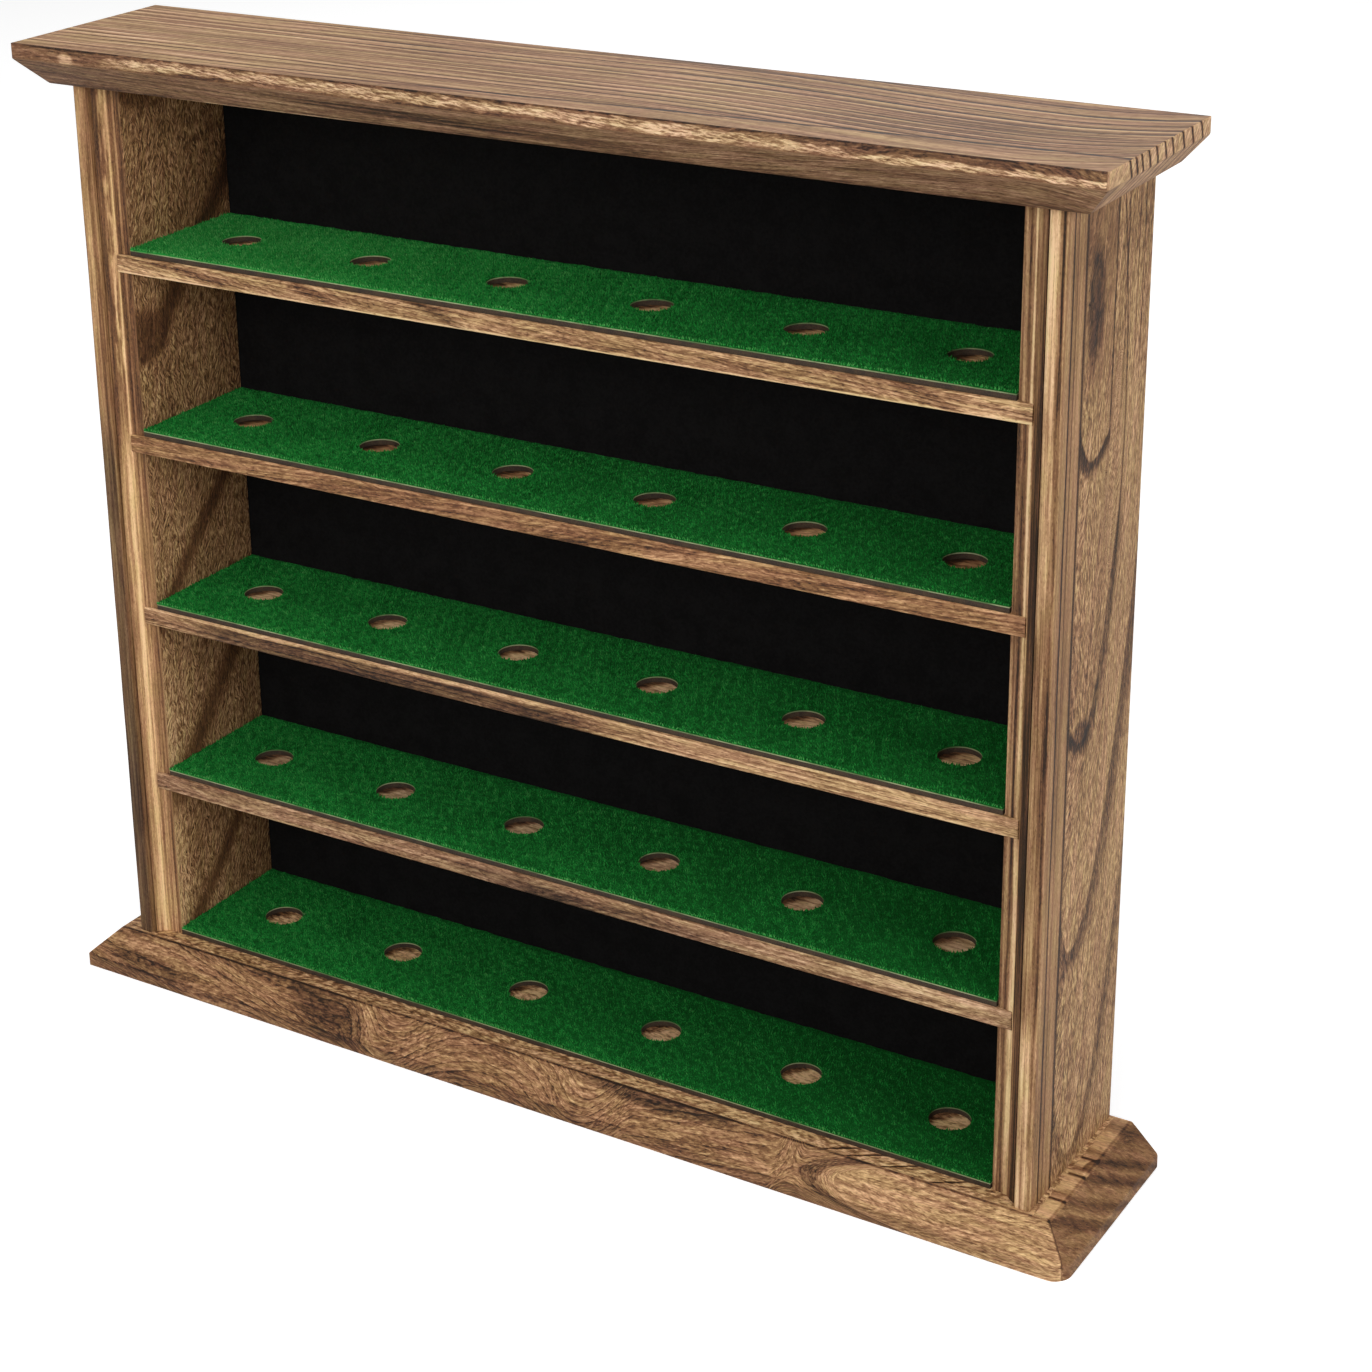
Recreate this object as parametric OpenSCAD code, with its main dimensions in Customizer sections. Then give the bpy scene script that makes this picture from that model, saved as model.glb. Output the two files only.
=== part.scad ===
// Golf ball display case: an open wooden rack with five felt-covered levels.
// Millimetres. X runs across the case, -Y is the open front, +Z is up.
// The origin is the middle of the base board's underside.

/* [Overall] */
// Width across the base board, the widest piece
case_w = 383; // [310:1:460]
// Depth across the base board, the deepest piece
case_d = 74; // [60:1:100]
// Height from the underside of the base to the top face
case_h = 340; // [270:1:420]

/* [Base board] */
// Thickness of the base board
base_t = 14; // [10:0.5:20]
// Height of its upright edge, below the bevel
base_band = 4.6; // [3:0.1:7]
// How far the bevel runs in at the two ends
base_bevel_side = 9.5; // [5:0.1:11]
// How far the bevel runs in at the front
base_bevel_front = 9.8; // [5:0.1:10]
// Plan radius of the front corner on the right
base_corner_r = 6.8; // [1:0.1:9]
// Plan radius of the front corner on the left
base_left_corner_r = 1; // [0.5:0.1:9]

/* [Top board] */
// Thickness of the top board
top_t = 14.2; // [10:0.1:20]
// Height of its upright edge, above the bevel
top_band = 5; // [3:0.1:7]
// How far the bevel runs in under the two ends
top_bevel_side = 8.3; // [4:0.1:11]
// How far the bevel runs in under the front
top_bevel_front = 8.4; // [4:0.1:9.5]
// How far each end stands in from the base board's end
top_side_inset = 1.2; // [0:0.1:4]
// How far the front stands in from the base board's front
top_front_inset = 0.3; // [0:0.1:2]

/* [Side panels] */
// Thickness of a side panel
panel_t = 15; // [12:0.5:18]
// From the base board's end to the panel's outer face
panel_side_inset = 16.5; // [14:0.5:24]
// From the base board's front to the panel's nose
panel_front_inset = 11; // [10.5:0.1:16]
// From the base board's back to the back of the panels and the top
back_inset = 0.6; // [0:0.1:3]
// Width of the rounded nose along the front edge
nose_w = 5.6; // [3:0.1:6]
// How far the nose stands in front of the flat strip beside it
nose_proud = 4.8; // [2:0.1:6]
// Width of the slope between the nose and the flat strip
nose_slope = 4.2; // [2:0.1:4.4]
// Radius on the nose's two front arrises
nose_r = 1.3; // [0.5:0.1:1.4]
// Width of the little groove where the slope meets the nose
quirk_w = 0.6; // [0.2:0.1:1]
// Depth of that groove
quirk_depth = 1.2; // [0.4:0.1:2]
// How far the flat strip falls back towards the inner face
strip_fall = 0.8; // [0:0.1:1.5]

/* [Shelves] */
// Thickness of a shelf
shelf_t = 6.2; // [5:0.1:9]
// Depth of the housing in each side panel
housing_depth = 5; // [2:0.5:5.5]
// How far a shelf's front stands proud of the flat strip
shelf_proud = 0.5; // [0:0.1:1]

/* [Back panel] */
// Thickness of the back panel
back_t = 3; // [2:0.1:6]
// How far its rear face lies inside the panels' back edges
back_sink = 0.6; // [0:0.1:1]
// Width of the rebate in each side panel
rebate_w = 6; // [5:0.5:9]

/* [Ball boards and felt] */
// Thickness of the board under the felt
ball_board_t = 1.6; // [1:0.1:4]
// Thickness of the felt
felt_t = 1.1; // [0.6:0.1:3]
// From the shelf's front to the front of the ball board
ball_board_inset = 1; // [0.5:0.1:4]
// Number of ball seats on a level
seat_count = 6; // [1:1:6]
// Diameter of a ball seat
seat_d = 13.7; // [8:0.1:18]
// From the ball board's front to the seats' centres
seat_from_front = 26.5; // [15:0.5:30]

/* [Fixings] */
// Shank diameter of a base screw
screw_d = 3.8; // [3:0.1:4.5]
// Head diameter of a base screw
screw_head_d = 7.4; // [6:0.1:8.5]
// Length of a base screw
screw_length = 32; // [24:1:45]
// Depth of its head below the base board's underside
screw_sink = 0.6; // [0.2:0.1:1.5]
// Diameter of a top dowel
dowel_d = 8; // [6:0.5:9]
// How far a dowel goes up into the top board
dowel_in_top = 9; // [6:0.5:9.5]
// How far a dowel goes down into the side panel
dowel_in_panel = 20; // [12:1:30]
// Shank diameter of a back panel pin
pin_d = 1.4; // [1:0.1:1.8]
// Head diameter of a back panel pin
pin_head_d = 3.2; // [2.4:0.1:4]
// Length of a pin under its head
pin_length = 15; // [10:1:20]
// Pins in each shelf's back edge
pins_per_shelf = 3; // [1:1:5]

/* [Clearances] */
// Gap all round a shelf's end in its housing
housing_gap = 0.1; // [0.05:0.05:0.3]
// Gap at each end and behind a ball board
insert_gap = 0.4; // [0.1:0.1:1]
// Gap at each edge of the back panel in its rebate
back_gap = 0.3; // [0.1:0.1:0.8]
// Radial gap round a screw shank, a dowel and a pin
fixing_gap = 0.05; // [0.02:0.01:0.15]
// Gap past the blind end of a screw, a dowel and a pin
end_gap = 0.5; // [0.3:0.1:1.5]

/* [Hidden] */

// Colours, as the finished piece shows them
wood = [0.45, 0.32, 0.20];
wood_light = [0.62, 0.47, 0.31];
black_paint = [0.03, 0.03, 0.03];
board_brown = [0.20, 0.17, 0.13];
felt_green = [0.05, 0.35, 0.10];
steel = [0.70, 0.70, 0.72];
beech = [0.80, 0.66, 0.46];

// Planes across the case
front_y = -case_d / 2;
back_y = case_d / 2;
nose_y = front_y + panel_front_inset;
strip_y = nose_y + nose_proud;
shelf_front_y = strip_y - shelf_proud;
panel_back_y = back_y - back_inset;
back_rear_y = panel_back_y - back_sink;
back_front_y = back_rear_y - back_t;

// Planes from side to side
outer_x = case_w / 2 - panel_side_inset;
inner_x = outer_x - panel_t;
housing_x = inner_x + housing_depth;

// Levels: four shelves share the clear height equally
shelf_count = 4;
level_count = shelf_count + 1;
panel_z = base_t;
panel_top_z = case_h - top_t;
level_clear = (panel_top_z - panel_z - shelf_count * shelf_t) / level_count;
level_pitch = level_clear + shelf_t;
function shelf_z(i) = panel_z + i * level_pitch - shelf_t;
function level_z(i) = panel_z + (i - 1) * level_pitch;

// Ball seats
board_front_y = shelf_front_y + ball_board_inset;
board_back_y = back_front_y - insert_gap;
board_half_w = inner_x - insert_gap;
seat_pitch = 2 * inner_x / seat_count;
seat_y = board_front_y + seat_from_front;
function seat_x(i) = (i - (seat_count - 1) / 2) * seat_pitch;

// Fixings lie on the middle plane of a side panel's thickness, clear of its nose
fixing_x = (inner_x + outer_x) / 2;
fixing_y = [strip_y + 16, back_front_y - 14];
screw_head_h = (screw_head_d - screw_d) / 2;
screw_point = 4;
dowel_bevel = 1;
pin_head_t = 0.6;
pin_point = 1.5;
pin_x = inner_x + rebate_w / 2;
round_fn = 48;
past = 1; // how far a cut runs past the face it opens

// Heights of the pins up a side, one in the middle of each level
function side_pin_z(i) = level_z(i) + level_clear / 2;
// Places of the pins along a shelf
function shelf_pin_x(j) = (j - (pins_per_shelf - 1) / 2) * 2 * inner_x / (pins_per_shelf + 1);

// Boards

// A profile in Y and Z, run along X over a given half width
module along_x(half_w) {
    rotate([90, 0, 90]) translate([0, 0, -half_w]) linear_extrude(2 * half_w) children();
}

// A profile in X and Z, run along Y between two planes
module along_y(y0, y1) {
    translate([0, y1, 0]) rotate([90, 0, 0]) linear_extrude(y1 - y0) children();
}

module base_blank() {
    half_w = case_w / 2;
    intersection() {
        along_x(half_w + past) polygon([
            [front_y, 0], [back_y, 0], [back_y, base_t],
            [front_y + base_bevel_front, base_t], [front_y, base_band]
        ]);
        along_y(front_y - past, back_y + past) polygon([
            [-half_w, 0], [half_w, 0], [half_w, base_band],
            [half_w - base_bevel_side, base_t], [-half_w + base_bevel_side, base_t],
            [-half_w, base_band]
        ]);
        translate([0, 0, -past]) linear_extrude(base_t + 2 * past) base_plan(half_w);
    }
}

// The rounded corners are true arcs, so the plan is put together from squares and circles
module base_plan(half_w) {
    right = base_corner_r;
    left = base_left_corner_r;
    deep = max(left, right);
    translate([-half_w, front_y + deep]) square([2 * half_w, case_d - deep]);
    translate([-half_w + left, front_y]) square([2 * half_w - left - right, deep + past]);
    translate([-half_w, front_y + left]) square([left + past, deep - left + past]);
    translate([half_w - right - past, front_y + right]) square([right + past, deep - right + past]);
    translate([-half_w + left, front_y + left]) circle(left, $fn = 64);
    translate([half_w - right, front_y + right]) circle(right, $fn = 64);
}

module base_board() {
    color(wood) difference() {
        base_blank();
        for (s = [-1, 1]) for (y = fixing_y) translate([s * fixing_x, y, 0]) {
            translate([0, 0, -past]) cylinder(d = screw_d + 2 * fixing_gap, h = base_t + 2 * past, $fn = round_fn);
            translate([0, 0, -past]) cylinder(d = screw_head_d + 2 * fixing_gap, h = past + screw_sink, $fn = round_fn);
            translate([0, 0, screw_sink]) screw_cone(fixing_gap);
        }
    }
}

module top_board() {
    half_w = case_w / 2 - top_side_inset;
    y0 = front_y + top_front_inset;
    z0 = case_h - top_t;
    z1 = case_h - top_band;
    color(wood) difference() {
        intersection() {
            along_x(half_w + past) polygon([
                [y0 + top_bevel_front, z0], [panel_back_y, z0], [panel_back_y, case_h],
                [y0, case_h], [y0, z1]
            ]);
            along_y(y0 - past, panel_back_y + past) polygon([
                [-half_w + top_bevel_side, z0], [half_w - top_bevel_side, z0], [half_w, z1],
                [half_w, case_h], [-half_w, case_h], [-half_w, z1]
            ]);
        }
        for (s = [-1, 1]) for (y = fixing_y) translate([s * fixing_x, y, z0 - past])
            cylinder(d = dowel_d + 2 * fixing_gap, h = dowel_in_top + end_gap + past, $fn = round_fn);
    }
}

// Plan of the right side panel: flat strip, slope, rounded nose, outer face, rebate
module panel_plan() {
    nose_x = outer_x - nose_w;
    slope_x = nose_x - nose_slope;
    difference() {
        union() {
            polygon([
                [inner_x, strip_y + strip_fall], [slope_x, strip_y], [nose_x, nose_y + nose_r],
                [outer_x, nose_y + nose_r], [outer_x, panel_back_y], [inner_x, panel_back_y]
            ]);
            translate([nose_x + nose_r, nose_y]) square([nose_w - 2 * nose_r, 2 * nose_r]);
            for (x = [nose_x + nose_r, outer_x - nose_r])
                translate([x, nose_y + nose_r]) circle(nose_r, $fn = 32);
        }
        translate([nose_x - quirk_w, nose_y - past])
            square([quirk_w, past + nose_r + quirk_depth]);
        translate([inner_x - past, back_front_y])
            square([past + rebate_w, panel_back_y - back_front_y + past]);
    }
}

module side_panel() {
    color(wood_light) difference() {
        translate([0, 0, panel_z]) linear_extrude(panel_top_z - panel_z) panel_plan();
        for (i = [1 : shelf_count])
            translate([inner_x - past, nose_y - past, shelf_z(i) - housing_gap])
                cube([past + housing_depth, back_front_y - nose_y + 2 * past, shelf_t + 2 * housing_gap]);
        for (y = fixing_y) translate([fixing_x, y, 0]) {
            translate([0, 0, panel_z - past])
                cylinder(d = screw_d + 2 * fixing_gap, h = past + screw_sink + screw_length - base_t + end_gap,
                         $fn = round_fn);
            translate([0, 0, panel_top_z - dowel_in_panel - end_gap])
                cylinder(d = dowel_d + 2 * fixing_gap, h = dowel_in_panel + end_gap + past, $fn = round_fn);
        }
        for (i = [1 : level_count]) pin_hole(pin_x, side_pin_z(i));
    }
}

module left_side_panel() {
    mirror([1, 0, 0]) side_panel();
}

module right_side_panel() {
    side_panel();
}

module shelf(i) {
    half_w = housing_x - housing_gap;
    color(wood) difference() {
        translate([-half_w, shelf_front_y, shelf_z(i)])
            cube([2 * half_w, back_front_y - shelf_front_y, shelf_t]);
        for (j = [0 : pins_per_shelf - 1]) pin_hole(shelf_pin_x(j), shelf_z(i) + shelf_t / 2);
    }
}

module back_panel() {
    half_w = inner_x + rebate_w - back_gap;
    z0 = panel_z + back_gap;
    color(black_paint) difference() {
        translate([-half_w, back_front_y, z0])
            cube([2 * half_w, back_t, panel_top_z - back_gap - z0]);
        for (s = [-1, 1]) for (i = [1 : level_count]) pin_hole(s * pin_x, side_pin_z(i));
        for (i = [1 : shelf_count]) for (j = [0 : pins_per_shelf - 1])
            pin_hole(shelf_pin_x(j), shelf_z(i) + shelf_t / 2);
    }
}

// Ball boards and felt

// A sheet of the ball board's outline with its seats, from one height to another
module seat_sheet(z0, z1) {
    difference() {
        translate([-board_half_w, board_front_y, z0])
            cube([2 * board_half_w, board_back_y - board_front_y, z1 - z0]);
        for (i = [0 : seat_count - 1]) translate([seat_x(i), seat_y, z0 - past])
            cylinder(d = seat_d, h = z1 - z0 + 2 * past, $fn = round_fn);
    }
}

module ball_board(i) {
    color(board_brown) seat_sheet(level_z(i), level_z(i) + ball_board_t);
}

module felt_pad(i) {
    color(felt_green) seat_sheet(level_z(i) + ball_board_t, level_z(i) + ball_board_t + felt_t);
}

// Fixings

// The cone under a screw's head, wide end down
module screw_cone(gap) {
    rotate_extrude($fn = round_fn) polygon([
        [0, 0], [screw_head_d / 2 + gap, 0], [screw_d / 2 + gap, screw_head_h], [0, screw_head_h]
    ]);
}

// A countersunk screw that points up, its head's face at Z 0, with a cross slot
module screw() {
    slot_w = 1.1;
    slot_depth = 1.5;
    difference() {
        rotate_extrude($fn = round_fn) polygon([
            [0, 0], [screw_head_d / 2, 0], [screw_d / 2, screw_head_h],
            [screw_d / 2, screw_length - screw_point], [0.3, screw_length], [0, screw_length]
        ]);
        for (a = [0, 90]) rotate([0, 0, a])
            translate([-screw_d / 2, -slot_w / 2, -past]) cube([screw_d, slot_w, past + slot_depth]);
    }
}

module base_screws() {
    color(steel) for (s = [-1, 1]) for (y = fixing_y)
        translate([s * fixing_x, y, screw_sink]) screw();
}

// A dowel with bevelled ends, from the panel up into the top board
module dowel() {
    r = dowel_d / 2;
    length = dowel_in_panel + dowel_in_top;
    rotate_extrude($fn = round_fn) polygon([
        [0, 0], [r - dowel_bevel, 0], [r, dowel_bevel],
        [r, length - dowel_bevel], [r - dowel_bevel, length], [0, length]
    ]);
}

module top_dowels() {
    color(beech) for (s = [-1, 1]) for (y = fixing_y)
        translate([s * fixing_x, y, panel_top_z - dowel_in_panel]) dowel();
}

// The hole a pin runs in, open at the back panel's rear face
module pin_hole(x, z) {
    translate([x, back_rear_y + past, z]) rotate([90, 0, 0])
        cylinder(d = pin_d + 2 * fixing_gap, h = past + pin_length + end_gap, $fn = round_fn);
}

// A pin whose head lies on the back panel's rear face
module pin(x, z) {
    r = pin_d / 2;
    translate([x, back_rear_y, z]) rotate([90, 0, 0]) rotate_extrude($fn = round_fn) polygon([
        [0, -pin_head_t], [pin_head_d / 2, -pin_head_t], [pin_head_d / 2, 0], [r, 0],
        [r, pin_length - pin_point], [0.2, pin_length], [0, pin_length]
    ]);
}

module back_panel_pins() {
    color(black_paint) {
        for (s = [-1, 1]) for (i = [1 : level_count]) pin(s * pin_x, side_pin_z(i));
        for (i = [1 : shelf_count]) for (j = [0 : pins_per_shelf - 1])
            pin(shelf_pin_x(j), shelf_z(i) + shelf_t / 2);
    }
}

base_board();
top_board();
left_side_panel();
right_side_panel();
shelf(1);  // shelf_1
shelf(2);  // shelf_2
shelf(3);  // shelf_3
shelf(4);  // shelf_4
back_panel();
ball_board(1);  // ball_board_1
ball_board(2);  // ball_board_2
ball_board(3);  // ball_board_3
ball_board(4);  // ball_board_4
ball_board(5);  // ball_board_5
felt_pad(1);  // felt_pad_1
felt_pad(2);  // felt_pad_2
felt_pad(3);  // felt_pad_3
felt_pad(4);  // felt_pad_4
felt_pad(5);  // felt_pad_5
base_screws();
top_dowels();
back_panel_pins();
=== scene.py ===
import math

import bmesh
import bpy
import numpy as np
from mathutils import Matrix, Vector
from mathutils.geometry import delaunay_2d_cdt


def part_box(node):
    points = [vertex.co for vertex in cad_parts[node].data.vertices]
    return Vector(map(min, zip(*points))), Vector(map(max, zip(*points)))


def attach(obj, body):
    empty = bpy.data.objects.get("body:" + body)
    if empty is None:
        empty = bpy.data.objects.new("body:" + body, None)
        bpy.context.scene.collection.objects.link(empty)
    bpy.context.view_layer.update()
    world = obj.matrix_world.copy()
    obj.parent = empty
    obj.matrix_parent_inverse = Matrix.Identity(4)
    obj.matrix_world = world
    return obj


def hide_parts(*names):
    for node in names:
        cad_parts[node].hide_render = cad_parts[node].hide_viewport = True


# Golf ball display case. Shapes are worked out in millimetres and stored in metres.
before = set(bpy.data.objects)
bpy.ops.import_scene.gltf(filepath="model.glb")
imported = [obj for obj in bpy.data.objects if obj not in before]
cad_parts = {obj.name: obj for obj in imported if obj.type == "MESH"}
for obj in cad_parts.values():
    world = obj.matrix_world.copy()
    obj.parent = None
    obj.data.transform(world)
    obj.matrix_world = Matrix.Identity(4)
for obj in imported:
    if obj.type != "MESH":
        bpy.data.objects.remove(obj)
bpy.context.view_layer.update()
mm = 0.001
print("frame loaded:", len(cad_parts), "nodes")


# Camera and studio

cameraView = {
    "place": (469.589, -729.021, 524.295),   # mm
    "turn": (69.7203, 1.3805, 32.7978),      # degrees about X, then Y, then Z
    "lens": 76.355,
    "sensor": 36.0,
    "shift": (0.10027, -0.13557),
}
studio = {
    "floorSize": 6.0,
    "floorColor": (0.86, 0.86, 0.86),
    "floorGlow": 0.5,
    "worldLevel": 0.36,
    "lamps": [
        # name, place and target in metres, size, watts
        ("frontLamp", (0.2, -1.7, 1.25), (0.0, 0.0, 0.15), 1.1, 14.0),
        ("topLamp", (0.1, -0.3, 1.9), (0.0, 0.0, 0.25), 1.2, 8.0),
        ("rightLamp", (1.75, -0.55, 0.9), (0.15, 0.0, 0.16), 1.1, 12.0),
        ("backLamp", (-0.6, 1.7, 1.2), (0.0, 0.0, 0.17), 1.2, 5.0),
    ],
}


# Puts mesh, lamp or camera data into the scene
def newObject(name, data):
    made = bpy.data.objects.new(name, data)
    bpy.context.collection.objects.link(made)
    return made


def makeCamera(view):
    data = bpy.data.cameras.new("camera")
    data.sensor_width = view["sensor"]
    data.lens = view["lens"]
    data.shift_x, data.shift_y = view["shift"]
    data.clip_start, data.clip_end = 0.01, 50
    cam = newObject("camera", data)
    cam.location = [v * mm for v in view["place"]]
    cam.rotation_euler = [math.radians(v) for v in view["turn"]]
    bpy.context.scene.camera = cam


# Adds a node. An input takes a number, a colour, a socket or a field
def addNode(tree, kind, inputs=None, settings=None):
    node = tree.nodes.new(kind if kind.startswith("NodeGroup") else "ShaderNode" + kind)
    for name, value in (settings or {}).items():
        setattr(node, name, value)
    for name, value in (inputs or {}).items():
        value = getattr(value, "socket", value)
        if isinstance(value, bpy.types.NodeSocket):
            tree.links.new(value, node.inputs[name])
        else:
            node.inputs[name].default_value = value
    return node


# A number that varies over a surface: one socket of a node tree, with the usual arithmetic
class field:
    def __init__(self, tree, socket):
        self.tree = tree
        self.socket = socket

    def use(self, operation, *others):
        values = dict(enumerate((self, *others)))
        return fieldNode(self.tree, "Math", values, {"operation": operation})

    def __add__(self, other):
        return self.use("ADD", other)

    def __sub__(self, other):
        return self.use("SUBTRACT", other)

    def __mul__(self, other):
        return self.use("MULTIPLY", other)

    def __truediv__(self, other):
        return self.use("DIVIDE", other)

    def __rsub__(self, other):
        return self.use("MULTIPLY_ADD", -1, other)

    __radd__ = __add__

    def mapped(self, low, high, toLow, toHigh, kind="SMOOTHSTEP"):
        values = {"Value": self, "From Min": low, "From Max": high, "To Min": toLow, "To Max": toHigh}
        return fieldNode(self.tree, "MapRange", values, {"interpolation_type": kind})

    # From 0 where the value is low to 1 where it is high, with soft ends
    def rise(self, low, high):
        return self.mapped(low, high, 0, 1)

    def fall(self, low, high):
        return self.mapped(low, high, 1, 0)

    # 1 at a place, and 0 from the given distance on
    def hump(self, place, reach):
        return (self - place).use("ABSOLUTE").fall(0, reach)

    # The sum of a hump at each place
    def humps(self, places, reach):
        return added(self.hump(place, reach) for place in places)

    # The sum of humps that are each given by place, reach and height
    def lines(self, spec):
        return added(self.hump(place, reach) * height for place, reach, height in spec)

    def between(self, low, high, soft):
        return self.rise(low - soft, low + soft) * self.fall(high - soft, high + soft)

    # This value where the share is 0, the other one where it is 1
    def towards(self, other, share):
        return self + (other - self) * share


def added(fields):
    first, *others = fields
    for other in others:
        first += other
    return first


def fieldNode(tree, kind, inputs=None, settings=None, output=0):
    return field(tree, addNode(tree, kind, inputs, settings).outputs[output])


def axesOf(tree, vector):
    return [field(tree, axis) for axis in addNode(tree, "SeparateXYZ", {0: vector}).outputs]


def mixColor(tree, factor, a, b, blend="MIX"):
    settings = {"data_type": "RGBA", "blend_type": blend, "clamp_factor": True}
    return addNode(tree, "Mix", {0: factor, 6: a, 7: b}, settings).outputs[2]


def noise(tree, vector, scale, detail, roughness):
    values = {"Vector": vector, "Scale": scale, "Detail": detail, "Roughness": roughness}
    return fieldNode(tree, "TexNoise", values, output="Fac")


# The emptied node tree of a material or a world
def emptyTree(owner):
    owner.use_nodes = True
    owner.node_tree.nodes.clear()
    return owner.node_tree


# A new material, its tree and the place on its object in metres
def newMaterial(name):
    mat = bpy.data.materials.new(name)
    tree = emptyTree(mat)
    return mat, tree, addNode(tree, "TexCoord").outputs["Object"]


# Stretches a point by three factors
def stretched(tree, vector, factors):
    return addNode(tree, "VectorMath", {0: vector, 1: factors}, {"operation": "MULTIPLY"}).outputs[0]


# The surface of a material: a principled shader, with a bump of the given strength and depth in metres
def finishSurface(tree, height, strength, depth, inputs):
    bump = addNode(tree, "Bump", {"Height": height, "Strength": strength, "Distance": depth})
    shader = addNode(tree, "BsdfPrincipled", {**inputs, "Normal": bump.outputs[0]})
    addNode(tree, "OutputMaterial", {"Surface": shader.outputs[0]})


def makeStudio(spec):
    white = (1, 1, 1, 1)
    world = bpy.data.worlds.new("studio")
    bpy.context.scene.world = world
    tree = emptyTree(world)
    rays = addNode(tree, "LightPath").outputs
    seen = field(tree, rays["Is Camera Ray"]).use("MAXIMUM", rays["Is Transmission Ray"])
    strength = seen.mapped(0, 1, spec["worldLevel"], 1, "LINEAR")
    back = addNode(tree, "Background", {"Color": white, "Strength": strength})
    addNode(tree, "OutputWorld", {0: back.outputs[0]})
    half = spec["floorSize"] / 2
    mesh = bpy.data.meshes.new("floor")
    corners = [(-half, -half, 0), (half, -half, 0), (half, half, 0), (-half, half, 0)]
    mesh.from_pydata(corners, [], [(0, 1, 2, 3)])
    mat = bpy.data.materials.new("floorPaper")
    tree = emptyTree(mat)
    seen = addNode(tree, "LightPath").outputs["Is Camera Ray"]
    plain = addNode(tree, "BsdfDiffuse", {"Color": (*spec["floorColor"], 1)})
    glow = addNode(tree, "Emission", {"Color": white, "Strength": spec["floorGlow"]})
    both = addNode(tree, "AddShader", {0: plain.outputs[0], 1: glow.outputs[0]})
    mixed = addNode(tree, "MixShader", {0: seen, 1: plain.outputs[0], 2: both.outputs[0]})
    addNode(tree, "OutputMaterial", {"Surface": mixed.outputs[0]})
    mesh.materials.append(mat)
    newObject("floor", mesh)
    for name, place, target, size, power in spec["lamps"]:
        data = bpy.data.lights.new(name, "AREA")
        data.shape, data.size, data.energy = "DISK", size, power
        lamp = newObject(name, data)
        lamp.location = place
        lamp.rotation_euler = (Vector(target) - Vector(place)).to_track_quat("-Z", "Y").to_euler()
    bpy.context.scene.view_settings.view_transform = "Standard"


makeCamera(cameraView)
makeStudio(studio)
print("camera and studio made")


# Sizes of the case, in mm, read from the frame where a node holds them

def nodeBox(name):
    low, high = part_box(name)
    return np.array(low) / mm, np.array(high) / mm


baseLow, baseHigh = nodeBox("base_board")
topLow, topHigh = nodeBox("top_board")
panelLow, panelHigh = nodeBox("right_side_panel")
backFront = nodeBox("back_panel")[0][1]
shelfBoxes = [nodeBox("shelf_%d" % i) for i in range(1, 5)]
boardBoxes = [nodeBox("ball_board_%d" % i) for i in range(1, 6)]
feltBoxes = [nodeBox("felt_pad_%d" % i) for i in range(1, 6)]
shelfPitch = feltBoxes[1][0][2] - feltBoxes[0][0][2]
seatCount = 6
seatPitch = 320 / 6
seatRadius = 13.7 / 2
seatFromFront = 26.5
seatPlaces = (np.arange(seatCount) - (seatCount - 1) / 2) * seatPitch
fixings = {
    "places": [(s * 167.5, y) for s in (-1, 1) for y in (-5.2, 18.8)],
    "screwHead": 3.75, "screwShank": 1.95, "screwSink": 0.6, "screwInPanel": 19.1,
    "dowel": 4.05, "dowelInTop": 9.5, "dowelInPanel": 20.5,
}
circleSteps = 40
boardSplit, sheetSplit = 32, 50    # degrees
pointRadius = 0.02    # closes the bottom of a hole
weldGap = 2e-6        # metres


def unit(vectors):
    return vectors / np.linalg.norm(vectors, axis=-1, keepdims=True)


# Smooth random values: sums of sines whose waves, turns and phases come from a seed
def ripple(points, wave, seed, count=9):
    source = np.random.default_rng(seed)
    turn = unit(source.normal(size=(count, points.shape[-1])))
    size = 2 * math.pi / (wave * source.uniform(0.6, 1.7, count))
    phase = source.uniform(0, 2 * math.pi, count)
    value = np.sin(points @ (turn * size[:, None]).T + phase)
    return value.sum(-1) / math.sqrt(count)


# Each corner of a closed outline becomes an arc, tangent to both its sides
def roundCorners(points, radii, steps):
    p = np.asarray(points, float)
    r = np.asarray(radii, float)[:, None]
    toLast = unit(np.roll(p, 1, 0) - p)
    toNext = unit(np.roll(p, -1, 0) - p)
    half = np.arccos(np.clip((toLast * toNext).sum(1), -1, 1))[:, None] / 2
    centre = p + unit(toLast + toNext) * r / np.sin(half)
    start = p + toLast * r / np.tan(half) - centre
    end = p + toNext * r / np.tan(half) - centre
    sweep = (math.pi - 2 * half)[:, None, :]
    t = np.linspace(0, 1, steps)[None, :, None]
    arc = np.sin((1 - t) * sweep) * start[:, None] + np.sin(t * sweep) * end[:, None]
    return (centre[:, None] + arc / np.sin(sweep)).reshape(-1, 2)


# Long sides of a closed outline are cut so that no step is over the given length
def refine(loop, longest):
    ahead = np.roll(loop, -1, 0)
    count = np.maximum(1, np.ceil(np.linalg.norm(ahead - loop, axis=1) / longest)).astype(int)
    index = np.repeat(np.arange(len(loop)), count)
    share = (np.arange(count.sum()) - (np.cumsum(count) - count)[index]) / count[index]
    return loop[index] + (ahead - loop)[index] * share[:, None]


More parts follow.
